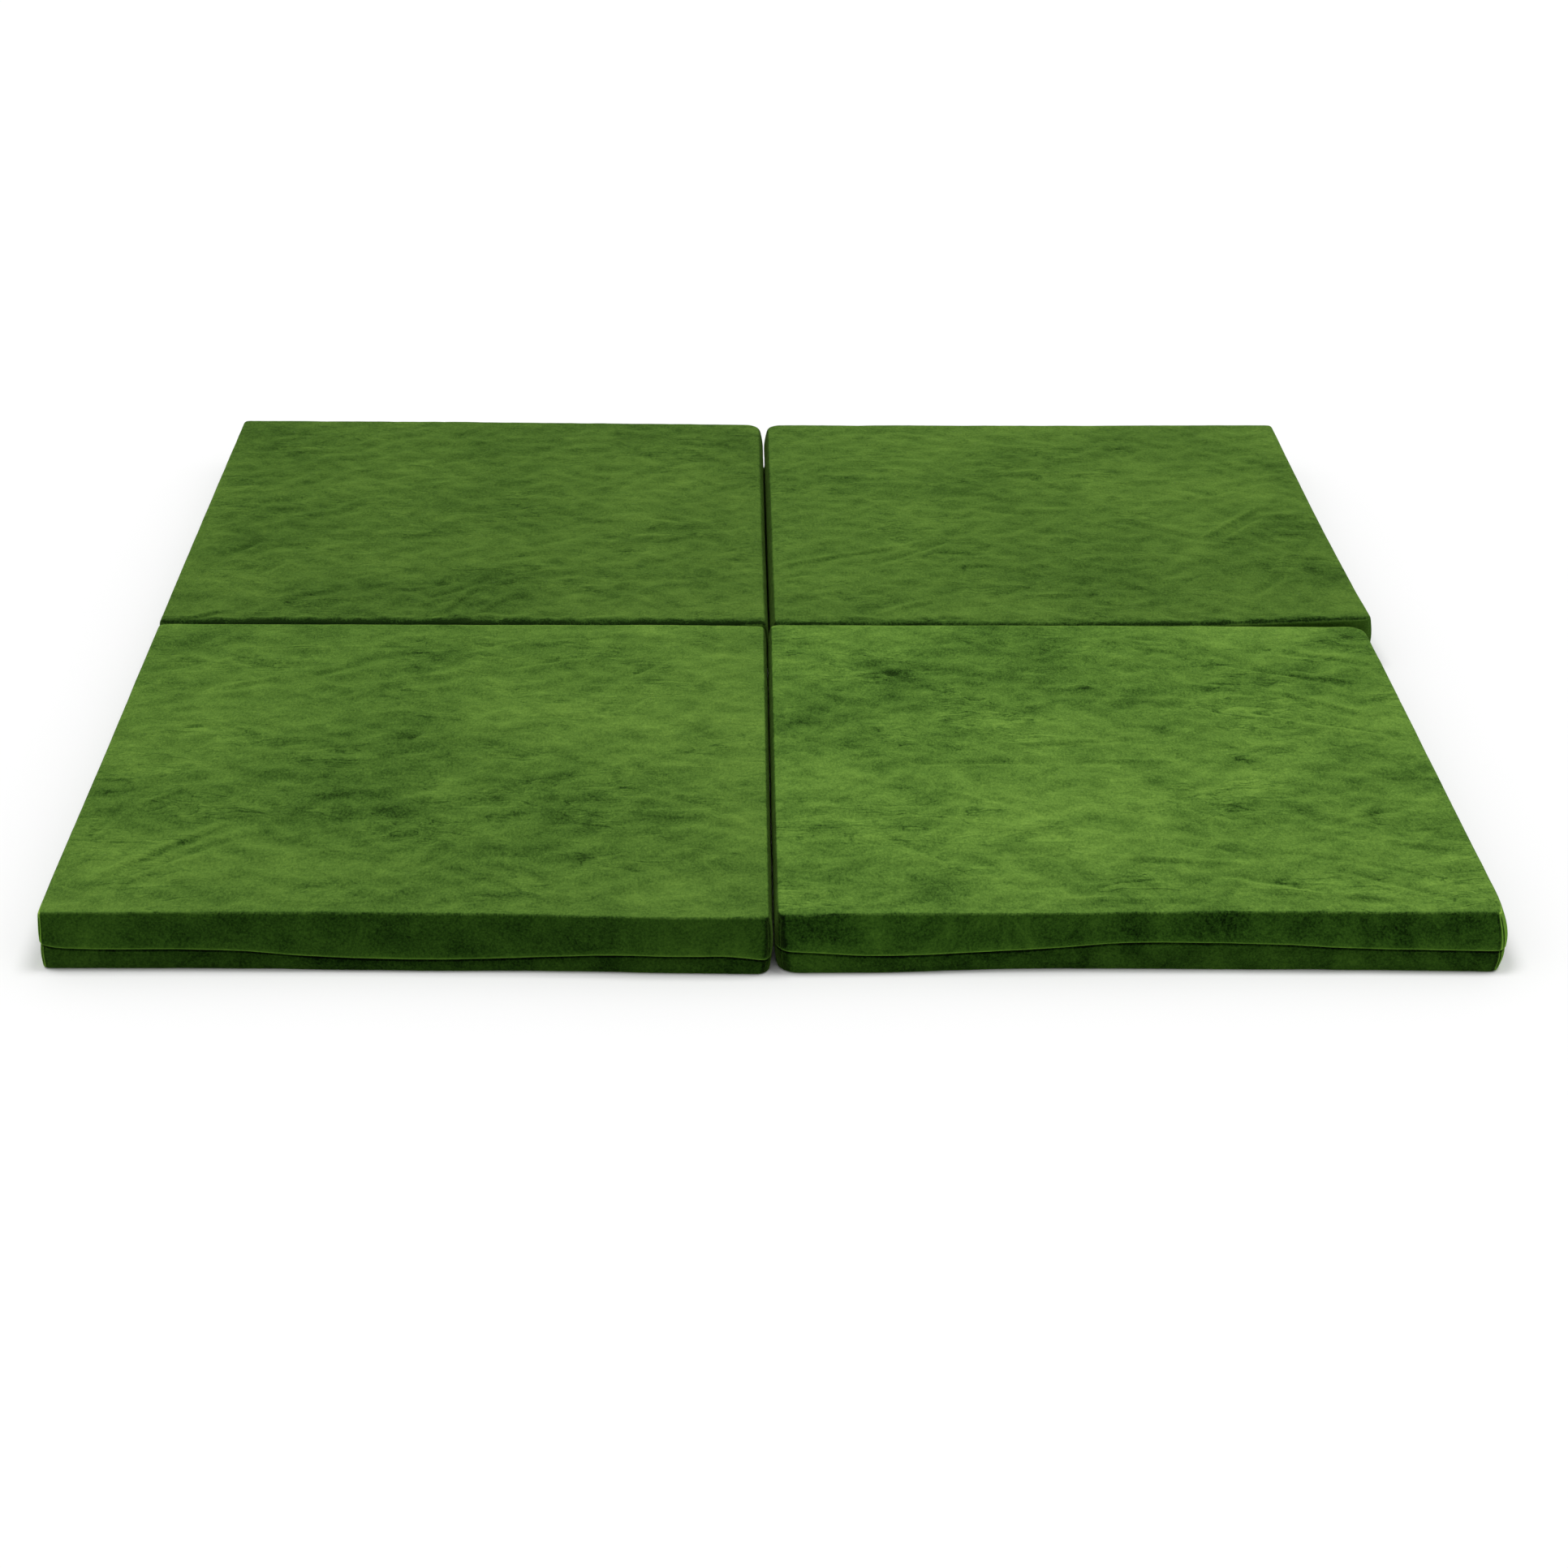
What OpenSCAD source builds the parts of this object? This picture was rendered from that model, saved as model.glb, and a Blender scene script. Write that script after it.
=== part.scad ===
// Crash landing mat: four foam panels in zipped velvet covers, laid out two by two
// and joined by three cloth fold webs. +Z is up and the near side is towards -Y.
// The origin is at the centre of the underside. Millimetres.
//
// Each panel is drawn once, as the near right panel around its own centre, with its
// zip on the near face and the zip closing towards +X. The others are its mirror images.

/* [Panels] */
// Width of one panel, left to right
panel_w = 740; // [600:10:1000]
// Depth of one panel, near to far
panel_d = 740; // [600:10:1000]
// Thickness of one panel
panel_t = 64; // [50:1:120]
// Radius of a panel's upright corners
corner_r = 10; // [4:1:20]
// Gap between the left and the right panels
centre_gap = 8; // [4:1:20]
// Gap between the near and the far panels
fold_gap = 12; // [8:1:24]

/* [Covers] */
// Thickness of the velvet cover with its lining
cover_wall = 1.5; // [1:0.5:2.5]
// Height of the seam between the top cover and the bottom cover
seam_z = 25; // [22:1:28]
// Slack between the foam and the cover
foam_slack = 1; // [0.5:0.5:3]
// Thickness of the cloth fold webs
web_t = 1.2; // [0.8:0.1:2]
// Depth of the top fold webs under the top of the panels
web_sink = 0.4; // [0.2:0.1:2]
// Height of the bottom web over the floor
web_lift = 1; // [0.5:0.5:3]

/* [Hidden zip] */
// Distance from a panel's end to the end of its zip opening
zip_margin = 28; // [24:1:80]
// Height of the opening that the zip closes
zip_opening = 9; // [9:0.5:10]
// Depth of the zip's teeth behind the face of the panel
zip_recess = 4.5; // [4.5:0.1:5]
// Spacing of the teeth on one tape
tooth_pitch = 4; // [3:0.5:6]
// Width of one zip tape
tape_w = 9.4; // [8:0.1:10]
// Thickness of one zip tape
tape_t = 0.8; // [0.5:0.1:0.9]
// Thickness of the flap that hides the zip
flap_t = 2; // [1:0.5:3]
// Height of the flap
flap_h = 15; // [12:1:20]
// How far the flap hangs below the middle of the zip
flap_drop = 1.5; // [0:0.5:3]

/* [Hidden] */
$fn = 48;
PANELS = [
    // name, side (-1 is left), row (-1 is near)
    ["near_left", -1, -1],
    ["near_right", 1, -1],
    ["far_left", -1, 1],
    ["far_right", 1, 1]
];
PIECES = [
    "foam_core", "top_cover", "bottom_cover", "zip_flap", "zip_upper_tape",
    "zip_lower_tape", "zip_upper_teeth", "zip_lower_teeth", "zip_stops", "zip_slider"
];
WEBS = ["left_fold_web", "right_fold_web", "centre_web"];

face_y = -panel_d / 2;                  // the face that has the zip
zip_len = panel_w - 2 * zip_margin;
zip_y = face_y + zip_recess;            // middle of the teeth's thickness
hem_t = zip_recess - cover_wall - tape_t / 2; // the cover's edge, folded in onto the tape
hem_h = 6.5;
hem_overrun = 5;                        // the hem goes on past the opening's ends

tooth_t = 2.2;                          // thickness of the teeth, front to back
spine_h = 1;                            // the cord that the teeth stand on
spine_offset = 0.6;                     // from the zip's middle to a tooth row's spine
tooth_h = 1.1;
tooth_fill = 0.4;                       // a tooth's share of its pitch
tape_edge = spine_offset + spine_h;     // from the zip's middle to the tape's edge

slider_len = 12;
slider_h = 8;
slider_tail_h = 6.4;                    // the slider is narrower at its tail
slider_gap = 2.6;                       // between its two plates
slider_plate = 1.3;
slider_rail = 0.8;
slider_slot = 1.4;                      // the slot that the tape runs through
neck_r = 1;
neck_x = 4.6;                           // from the slider's middle to its neck
bridge_len = 6;
bridge_h = 2;
bridge_rise = 0.9;

stop_len = 1.8;
stop_gap = 0.6;
// The slider rests against the top stops, at the closed end of the zip.
slider_x = zip_len / 2 - 10;
teeth_end = slider_x + 2.4;             // the rows of teeth part before the slider's neck
teeth_start = -zip_len / 2 + 6;
top_stop_x = slider_x + slider_len / 2 + stop_gap;

// Moves a near right panel's piece to another panel: side -1 is left, row 1 is far.
module place(side, row) {
    if (side < 0) mirror([1, 0, 0]) place_row(row) children();
    else place_row(row) children();
}

module place_row(row) {
    if (row > 0) mirror([0, 1, 0]) to_near_right() children();
    else to_near_right() children();
}

module to_near_right() {
    translate([(centre_gap + panel_w) / 2, -(fold_gap + panel_d) / 2, 0]) children();
}

// A rectangle with round corners, centred on the origin.
module rounded_plan(w, d, r) {
    square([w - 2 * r, d], center = true);
    square([w, d - 2 * r], center = true);
    for (x = [-1, 1], y = [-1, 1])
        translate([x * (w / 2 - r), y * (d / 2 - r)]) circle(r);
}

// A box with its low corner at [x, y, z] and its high corner at [x2, y2, z2].
module span(low, high) {
    translate(low) cube(high - low);
}

// The foam block stands back from the zip, so that the slider has room to run.
module foam_core() {
    side = cover_wall + foam_slack;
    behind_zip = zip_recess + slider_gap / 2 + slider_plate + foam_slack + 0.4;
    depth = panel_d - side - behind_zip;
    color("Ivory")
        translate([0, (behind_zip - side) / 2, side])
        linear_extrude(panel_t - 2 * side)
        rounded_plan(panel_w - 2 * side, depth, corner_r - side / 2);
}

// One half of the cover, from low_z to high_z, hollow from cavity_low_z to cavity_high_z.
module cover_shell(low_z, high_z, cavity_low_z, cavity_high_z) {
    difference() {
        translate([0, 0, low_z])
            linear_extrude(high_z - low_z)
            rounded_plan(panel_w, panel_d, corner_r);
        translate([0, 0, cavity_low_z])
            linear_extrude(cavity_high_z - cavity_low_z)
            rounded_plan(panel_w - 2 * cover_wall, panel_d - 2 * cover_wall, corner_r - cover_wall);
        zip_window();
    }
}

// The opening for the zip, cut through the face and the hem behind it.
module zip_window() {
    span(
        [-zip_len / 2, face_y - 1, seam_z - zip_opening / 2],
        [zip_len / 2, face_y + cover_wall + 1, seam_z + zip_opening / 2]
    );
}

// The folded edge of a cover along the zip, from low_z up to low_z + hem_h.
module hem(low_z) {
    x = zip_len / 2 + hem_overrun;
    y = face_y + cover_wall;
    span([-x, y, low_z], [x, y + hem_t, low_z + hem_h]);
}

module top_cover() {
    color("OliveDrab") {
        cover_shell(seam_z, panel_t, seam_z - 1, panel_t - cover_wall);
        hem(seam_z + zip_opening / 2);
    }
}

module bottom_cover() {
    color("DarkOliveGreen") {
        cover_shell(0, seam_z, cover_wall, seam_z + 1);
        hem(seam_z - zip_opening / 2 - hem_h);
    }
}

// The strip of velvet sewn to the top cover, whose free lower edge hides the zip.
module zip_flap() {
    x = panel_w / 2 - corner_r - 2;
    low_z = seam_z - flap_drop;
    color("OliveDrab") span([-x, face_y - flap_t, low_z], [x, face_y, low_z + flap_h]);
}

// One zip tape; `up` is 1 for the upper tape and -1 for the lower one.
module zip_tape(up) {
    x = zip_len / 2 + hem_overrun;
    color("DarkGreen")
        translate([0, 0, seam_z + up * (tape_edge + tape_w / 2)])
        translate([0, zip_y, 0])
        cube([2 * x, tape_t, tape_w], center = true);
}

// Corners of a row of teeth in X and Z, for a row that stands on its spine and points down.
function tooth_corners(x) = [
    [x, spine_offset],
    [x, spine_offset - tooth_h],
    [x + tooth_pitch * tooth_fill, spine_offset - tooth_h],
    [x + tooth_pitch * tooth_fill, spine_offset]
];

// One row of teeth; the lower row is turned over and set half a pitch along.
module zip_teeth(up) {
    shift = up > 0 ? 0 : tooth_pitch / 2;
    count = floor((teeth_end - teeth_start - tooth_pitch) / tooth_pitch);
    first = teeth_start + shift + tooth_pitch * (1 - tooth_fill) / 2;
    row = concat(
        [[teeth_start, tape_edge], [teeth_start, spine_offset]],
        [for (i = [0 : count - 1]) each tooth_corners(first + i * tooth_pitch)],
        [[teeth_end, spine_offset], [teeth_end, tape_edge]]
    );
    color("DimGray")
        translate([0, zip_y + tooth_t / 2, seam_z])
        rotate([90, 0, 0])
        linear_extrude(tooth_t)
        polygon(up > 0 ? row : [for (p = row) [p[0], -p[1]]]);
}

module zip_upper_tape() zip_tape(1);
module zip_lower_tape() zip_tape(-1);
module zip_upper_teeth() zip_teeth(1);
module zip_lower_teeth() zip_teeth(-1);

// Two top stops at the closed end and one bottom stop that joins both rows at the other end.
module zip_stops() {
    low_y = zip_y - tooth_t / 2;
    high_y = zip_y + tooth_t / 2;
    color("Silver") {
        span(
            [teeth_start - stop_gap - stop_len, low_y, seam_z - tape_edge],
            [teeth_start - stop_gap, high_y, seam_z + tape_edge]
        );
        for (low_z = [seam_z + spine_offset, seam_z - tape_edge])
            span([top_stop_x, low_y, low_z], [top_stop_x + stop_len, high_y, low_z + spine_h]);
    }
}

// The child-safe slider: two plates, a neck between them and rails at their edges,
// with a low bridge on the front in place of a pull tab.
module zip_slider() {
    color("Silver") translate([slider_x, zip_y, seam_z]) {
        for (side = [-1, 1]) {
            translate([0, side * (slider_gap + slider_plate) / 2, 0]) slider_plate_solid(slider_plate);
            for (face = [-1, 1]) slider_rail_solid(side, face);
        }
        translate([neck_x, 0, 0]) rotate([90, 0, 0])
            cylinder(h = slider_gap + slider_plate, r = neck_r, center = true);
        translate([0, -slider_gap / 2 - slider_plate - bridge_rise / 2, 0])
            cube([bridge_len, bridge_rise, bridge_h], center = true);
    }
}

// One plate of the slider, seen from the front: wide at its head, narrow at its tail.
module slider_plate_solid(thickness) {
    tail = slider_tail_h / 2;
    head = slider_h / 2;
    outline = [
        [-slider_len / 2, -tail], [0, -tail], [slider_len / 6, -head], [slider_len / 2, -head],
        [slider_len / 2, head], [slider_len / 6, head], [0, tail], [-slider_len / 2, tail]
    ];
    translate([0, thickness / 2, 0]) rotate([90, 0, 0]) linear_extrude(thickness) polygon(outline);
}

// A rail that closes one plate's edge down to the tape slot: side is front or back,
// face is up or down.
module slider_rail_solid(side, face) {
    depth = (slider_gap - slider_slot) / 2;
    y = side * (slider_slot + depth) / 2;
    z = face * (slider_tail_h - slider_rail) / 2;
    translate([0, y, z]) cube([slider_len, depth, slider_rail], center = true);
}

// A cloth strip across the fold gap, at the top edges of the panels.
module fold_web(side) {
    x = side * (centre_gap + panel_w) / 2;
    top_z = panel_t - web_sink;
    color("OliveDrab")
        translate([x, 0, top_z - web_t / 2])
        cube([panel_w - 2 * corner_r, fold_gap, web_t], center = true);
}

module left_fold_web() fold_web(-1);
module right_fold_web() fold_web(1);

// The cloth strip that joins the two far panels at their bottom edges.
module centre_web() {
    y = (fold_gap + panel_d) / 2;
    color("DarkOliveGreen")
        translate([0, y, web_lift + web_t / 2])
        cube([centre_gap, panel_d - 2 * corner_r, web_t], center = true);
}

// Draws one of PIECES, in the near right panel's own frame.
module piece_of(name) {
    if (name == "foam_core") foam_core();
    if (name == "top_cover") top_cover();
    if (name == "bottom_cover") bottom_cover();
    if (name == "zip_flap") zip_flap();
    if (name == "zip_upper_tape") zip_upper_tape();
    if (name == "zip_lower_tape") zip_lower_tape();
    if (name == "zip_upper_teeth") zip_upper_teeth();
    if (name == "zip_lower_teeth") zip_lower_teeth();
    if (name == "zip_stops") zip_stops();
    if (name == "zip_slider") zip_slider();
}

for (p = PANELS, piece = PIECES)
    place(p[1], p[2]) piece_of(piece);
left_fold_web();
right_fold_web();
centre_web();
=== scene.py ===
import math

import bmesh
import bpy
import numpy as np
from mathutils import Matrix, Vector, noise


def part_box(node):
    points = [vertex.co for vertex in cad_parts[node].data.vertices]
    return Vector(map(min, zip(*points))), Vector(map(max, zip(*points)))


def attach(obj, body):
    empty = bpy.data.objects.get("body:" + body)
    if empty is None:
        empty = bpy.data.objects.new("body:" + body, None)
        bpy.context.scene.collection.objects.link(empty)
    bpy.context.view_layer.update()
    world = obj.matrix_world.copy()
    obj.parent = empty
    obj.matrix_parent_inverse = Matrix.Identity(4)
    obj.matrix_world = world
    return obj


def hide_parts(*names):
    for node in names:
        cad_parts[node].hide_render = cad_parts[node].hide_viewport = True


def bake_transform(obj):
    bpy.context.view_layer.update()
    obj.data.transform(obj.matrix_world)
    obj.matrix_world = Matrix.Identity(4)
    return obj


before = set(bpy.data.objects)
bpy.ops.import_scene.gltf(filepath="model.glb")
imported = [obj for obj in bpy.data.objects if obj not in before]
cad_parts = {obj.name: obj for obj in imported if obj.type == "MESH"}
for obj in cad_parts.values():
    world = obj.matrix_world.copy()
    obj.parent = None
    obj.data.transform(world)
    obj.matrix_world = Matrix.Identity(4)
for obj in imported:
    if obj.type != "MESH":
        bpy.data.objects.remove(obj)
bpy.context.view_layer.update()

# Every length below is in millimetres unless its name says otherwise. Meshes are scaled to metres when made.
MM = 0.001

# ------------------------ looks of the four panels
# Shares run left to right on the near and far sides, and near to far on the left and right sides.
# "side" is how far the whole side stands out, "belly" how much more it bulges at mid height.
# "foot" and "brow" move the near side's lower and upper edges outward: a near face is rarely quite upright.
# A single number holds all along the side.
# "edge" is (reach, drop) of the rounded top edge. "corner" is (top, bottom) radius.
# "tone" is the pile's brightness, "mottle" how patchy it is, and "grain" the direction of its fine creases.
# "pull" is the direction of its short wrinkles, and "fold_shade" how much painted shade darkens it beside the
# fold.
# "lip" is the height of the fabric lip above the floor along the side that has the zip.

LOOKS = {
    "near_left": {
        "tone": 1.0, "mottle": 1.0, "grain": 0.35, "pull": 0.6, "seed": 11,
        "corner": {"near_left": (6, 8), "near_right": (8, 14), "far_left": (8, 8), "far_right": (9, 9)},
        "edge": {"left": (4, 4), "right": (3.5, 4), "near": (3.5, 3.5), "far": (5, 4)},
        "side": {
            "left": [(0, 2.6), (0.02, 3.0), (0.06, 3.2), (0.5, 3), (1, 4)],
            "right": [(0, 0), (0.35, 0), (0.7, 0.3), (1, 0.5)],
            "near": [(0, 0), (0.3, 0.2), (0.5, 1.5), (0.72, 2.5), (0.85, 5.5), (1, 7)],
            "far": [(0, 13.5), (0.7, 13.5), (0.88, 14), (1, 12)],
        },
        "belly": {"left": 1.5, "right": [(0, 3.7), (0.5, 3.7), (1, 3.8)], "near": 1.5, "far": 0.5},
        "foot": [(0, 0), (0.3, 0.5), (0.5, 3), (0.72, 3), (0.9, 4), (1, 5)],
        "brow": [(0, -1.5), (0.55, -2.5), (0.72, 0.5), (0.85, 2.5), (1, 0)],
        "lip": [
            (0, 31), (0.025, 26.5), (0.05, 25.6), (0.2, 25), (0.28, 23.4), (0.35, 19), (0.43, 16.3),
            (0.6, 16), (0.7, 19), (0.77, 21.3), (0.9, 21.3), (0.94, 22), (0.97, 20), (1, 17.5),
        ],
    },
    "near_right": {
        "tone": 1.2, "mottle": 1.15, "grain": -0.2, "pull": -0.3, "seed": 23,
        "corner": {"near_left": (12, 22), "near_right": (7.5, 9), "far_left": (8, 8), "far_right": (20, 12)},
        "edge": {"left": (3.5, 4), "right": (4, 4), "near": (3.5, 3.5), "far": (5, 4)},
        "side": {
            "left": [(0, 0.5), (0.5, 0.5), (1, 0)],
            "right": [
                (0, 0.5), (0.02, 3), (0.05, 4.4), (0.12, 4.3), (0.25, 3),
                (0.5, 0.5), (0.75, -2), (0.9, -4), (1, -6),
            ],
            "near": [(0, 6), (0.15, 5), (0.3, 0.8), (0.9, 1), (1, 2)],
            "far": [(0, 14.5), (0.6, 15.5), (1, 14)],
        },
        "belly": {
            "left": [(0, 3.1), (0.5, 3.4), (1, 3.6)],
            "right": [(0, 6.5), (0.03, 9), (0.06, 8.5), (0.2, 5), (0.5, 2.5), (1, 1.5)],
            "near": 1.5,
            "far": 0.5,
        },
        "foot": [(0, 3), (0.15, 2.5), (0.3, 0), (0.6, 1.5), (0.9, 2), (1, 3)],
        "brow": [(0, -3.5), (0.15, -7), (0.3, -2.5), (0.5, -3), (0.62, -5.5), (0.9, -6.5), (1, -8)],
        "lip": [
            (0, 26.6), (0.02, 26.4), (0.12, 22), (0.25, 22.8), (0.4, 28), (0.47, 32.5), (0.6, 33),
            (0.7, 31.7), (0.8, 28), (0.9, 27), (1, 26),
        ],
    },
    "far_left": {
        "tone": 0.8, "mottle": 1.0, "fold_shade": 0.65, "grain": 0.5, "pull": 0.5, "seed": 37,
        "corner": {"near_left": (9, 8), "near_right": (9, 9), "far_left": (7, 7), "far_right": (20, 16)},
        "edge": {"left": (4, 4), "right": (6, 5), "near": (15, 8), "far": (4, 4)},
        "side": {
            "left": [(0, 5), (0.5, 5.5), (1, 5.5)],
            "right": [(0, 2.5), (0.4, 1), (1, 0)],
            "near": [(0, -3), (0.5, -2.8), (1, -4)],
            "far": [(0, 13), (0.5, 10), (1, 3)],
        },
        "belly": {"left": 1.5, "right": [(0, 4), (0.5, 4.3), (1, 5)], "near": 0.5, "far": 1.5},
        "foot": 0, "brow": 0,
        "lip": [(0, 25), (0.15, 23), (0.35, 26), (0.55, 24), (0.75, 21.5), (0.9, 23), (1, 25)],
    },
    "far_right": {
        "tone": 0.9, "mottle": 0.85, "fold_shade": 0.4, "grain": 0.4, "pull": 0.5, "seed": 53,
        "corner": {"near_left": (9, 9), "near_right": (12, 12), "far_left": (18, 14), "far_right": (7, 7)},
        "edge": {"left": (4, 4), "right": (4, 4), "near": (9, 5), "far": (4, 4)},
        "side": {
            "left": [(0, -5), (0.5, -4), (1, -3)],
            "right": [(0, 10), (0.2, 5.5), (0.5, 0.5), (1, -3.5)],
            "near": [(0, -4.5), (0.6, -5.3), (0.75, -8), (0.9, -19), (1, -27)],
            "far": [(0, 1.9), (0.5, 4), (1, 10)],
        },
        "belly": {
            "left": [(0, 5), (0.5, 5.3), (1, 5.2)],
            "right": [(0, 4), (0.3, 2.5), (1, 1.5)],
            "near": 0.5,
            "far": 1.5,
        },
        "foot": 0, "brow": 0,
        "lip": [(0, 25), (0.2, 26.5), (0.4, 24), (0.6, 21), (0.8, 23.5), (1, 25)],
    },
}

# Soft lighter and darker patches of brushed pile: place across and up, radius (all three in percent of the
# panel), and amount.
PATCHES = {
    "near_left": [
        (12, 10, 10, 0.15), (33, 30, 15, -0.12), (70, 62, 18, 0.1), (96, 85, 6, 0.2), (95, 65, 6, 0.22),
        (95, 45, 6, 0.22), (96, 25, 6, 0.2), (50, 45, 20, -0.1), (15, 75, 15, 0.06), (30, 30, 3, -0.25),
        (45, 57, 3, -0.25), (60, 10, 15, -0.05),
    ],
    "near_right": [
        (19, 81, 3.5, -0.4), (41, 67, 3, -0.35), (70, 49, 2.5, -0.35), (23, 8, 5, -0.3),
        (10, 62, 12, -0.22), (30, 60, 15, -0.14), (42, 93, 10, -0.2), (98, 45, 5, -0.35), (97, 95, 7, -0.2),
        (75, 15, 18, 0.12), (5, 35, 8, -0.15), (45, 30, 15, 0.1), (80, 80, 12, 0.08),
    ],
    "far_left": [
        (5, 93, 10, -0.3), (95, 90, 7, -0.35), (55, 20, 10, -0.25), (25, 15, 10, -0.15), (60, 35, 15, 0.1),
        (20, 75, 15, 0.1), (85, 47, 6, -0.22), (10, 35, 3, -0.35),
    ],
    "far_right": [
        (97, 75, 6, -0.3), (95, 45, 6, -0.35), (95, 25, 7, -0.35), (60, 60, 12, 0.15), (30, 70, 15, 0.08),
        (80, 15, 10, 0.12), (85, 52, 4, -0.25), (35, 40, 10, -0.1),
    ],
}

# Wrinkles, listed: start and end, each across and up in percent of the panel, width, height and bow.
# A negative height is a crease. The bow bends the line sideways at its middle.
WRINKLES = {
    "near_left": [
        (5, 10, 22, 28, 6, 1.3, 4), (7, 8, 26, 24, 5, -0.9, 4), (2, 22, 6, 33, 6, -0.8, 0),
        (7, 33, 14, 39, 4, 0.8, 0), (9, 2, 9, 9, 5, 0.9, 1), (48, 88, 62, 96, 4, -0.9, 2),
        (57, 82, 73, 89, 4, -1.0, 2), (61, 92, 77, 98, 4, 0.8, 0), (77, 79, 83, 85, 4, -1.1, 0),
        (4, 82, 15, 89, 4, -0.6, 0), (11, 74, 23, 80, 5, 0.7, 1), (33, 92, 41, 94, 4, 0.7, 0),
        (63, 34, 66, 46, 4, -0.8, 1), (61, 64, 72, 66, 4, 0.7, 2), (78, 39, 80, 47, 4, 0.6, 0),
        (7, 61, 17, 62, 4, 0.6, 1), (49, 11, 53, 17, 4, -0.7, 0), (45, 55, 47, 59, 6, -0.9, 0),
        (26, 80, 34, 85, 5, 0.7, 1), (84, 60, 89, 66, 4, 0.6, 0),
    ],
    "near_right": [
        (77, 94, 98, 86, 4, 1.3, 2), (76, 91, 94, 87, 4, -1.0, 2), (71, 86, 92, 77, 4, -1.2, 2),
        (78, 76, 94, 66, 5, 1.4, 2), (74, 74, 93, 64, 4, -1.2, 3), (73, 67, 98, 58, 5, -1.4, 2),
        (80, 28, 93, 34, 4, 0.8, 2), (52, 17, 68, 15, 5, 1.1, 2), (56, 22, 68, 18, 4, -1.0, 1),
        (62, 12, 80, 5, 5, -1.2, 3), (64, 8, 90, 4, 5, 1.0, 2), (78, 14, 95, 4, 4, -1.1, 2),
        (79, 18, 93, 12, 4, 1.0, 2), (70, 20, 82, 17, 4, 0.8, 1), (25, 40, 38, 32, 5, -0.8, 2),
        (36, 55, 60, 58, 4, 0.8, -2), (18, 48, 44, 48, 4, -0.7, 1), (44, 49, 62, 49, 4, 0.7, 1),
        (14, 24, 25, 15, 5, -0.8, 2), (33, 5, 60, 4.5, 4, 0.7, 0), (54, 97, 72, 94, 4, -0.9, 1),
        (57, 93, 71, 90, 4, 0.9, 1), (62, 74, 68, 71, 4, -0.8, 0), (70, 49, 71, 49, 4, -1.2, 0),
        (18, 82, 20, 80, 5, -1.2, 0), (84, 24, 97, 20, 4, 0.8, 1), (80, 83, 96, 78, 3.5, 0.9, 1),
        (86, 96, 98, 92, 3.5, -0.9, 1), (40, 19, 55, 16, 4, 0.6, 1), (66, 79, 80, 74, 3.5, -0.7, 1),
    ],
    "far_left": [
        (8, 32, 11, 37, 7, -1.2, 0), (46, 5, 51, 16, 5, 1.2, 3), (43, 11, 49, 15, 5, -1.0, 0),
        (51, 4, 56, 12, 5, 0.9, -2), (87, 71, 94, 64, 4, 0.8, 1), (13, 22, 17, 27, 5, -0.8, 0),
        (23, 72, 26, 74, 7, 0.8, 0), (56, 31, 62, 33, 6, 0.7, 0), (16, 83, 13, 86, 6, 0.7, 0),
        (4, 3, 10, 6, 5, 0.9, 0), (50, 24, 55, 24, 4, 0.6, 0), (80, 49, 86, 48, 6, -0.8, 0),
    ],
    "far_right": [
        (77, 39, 88, 53, 6, 1.3, 3), (79, 37, 90, 51, 5, -1.1, 3), (86, 22, 91, 34, 6, -0.9, 1),
        (82, 12, 89, 22, 8, -1.0, 0), (1, 26, 30, 38, 5, 0.9, 3), (19, 27, 32, 38, 5, -1.0, -2),
        (1, 20, 9, 23, 5, -0.8, 0), (32, 26, 40, 27, 5, 0.8, 2), (44, 13, 56, 14, 5, 0.7, 0),
        (19, 5, 28, 11, 5, 0.9, 2), (71, 18, 75, 22, 5, -0.7, 0), (70, 44, 77, 39, 4, -0.6, 0),
        (92, 58, 94, 58, 5, -1.2, 0), (50, 74, 53, 66, 7, 0.6, 1),
    ],
}

# ------------------------ measures shared by the panels
CLOTH_THICK = 1.0
GRID_PITCH = 8.6  # of a top cover's mesh, before it is subdivided
UNDERSIDE_PITCH = 16
WEAR_REACH = 120  # how far into the panel the shape of a side is felt
BELLY_REACH = 12
LIP_REACH = 50  # how far round a corner the zip side's lip is felt
CROWN = 1.0  # how much higher the middle of a top is
FOAM_INSET = 3.0  # how far inside the covers' corners the foam stays
FOAM_DIP = 1.5  # the foam's top stays clear of the deepest creases
FOAM_EDGE = 6.0  # radius of the foam's edges
FOAM_CUTS = 25
HIGHEST_RISE = 2.3  # folded panels are 5 mm apart, so each top rises less than half of that
UNDER_EDGE = (3, 2.5)
CORNER_SEAM = 1.1  # depth of the groove that the upright seam makes at each corner
ROUND_STEPS = (0, 0.25, 0.5, 0.75, 1)  # grid lines over a rounded edge, as shares of its reach
BEYOND_ROUND = (3, 7, 12, 19)  # grid lines past it
SKIRT_STEPS = (0.12, 0.3, 0.5, 0.7, 0.86, 0.96, 1.0)  # rings of the skirt, as shares of its height
ZIP_BAND = 22  # points nearer than this to the zip's side belong to it
UNDER_PAINTED_SHADE = (0, 0, 0, 0, 0, 0, -0.5, -0.8, -0.95, -0.95, -0.95)  # dark, shaded cloth behind the lip
TOP_HEM = ((0.5, 0.6), (1.5, 0.9), (2.5, 0.4), (2.6, -3.0))  # (inset, how far past the lip)
UNDER_HEM = ((0.4, 0.5), (1.1, 1.6), (1.4, 4.0), (1.4, 7.0))
LIP_PAINTED_HIGHLIGHT = (0, 0, 0, 0.05, 0.2, 0.5, 2.4, 2.4, 0, 0, 0)  # painted highlight along the lip's edge, at each ring of the skirt
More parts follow.
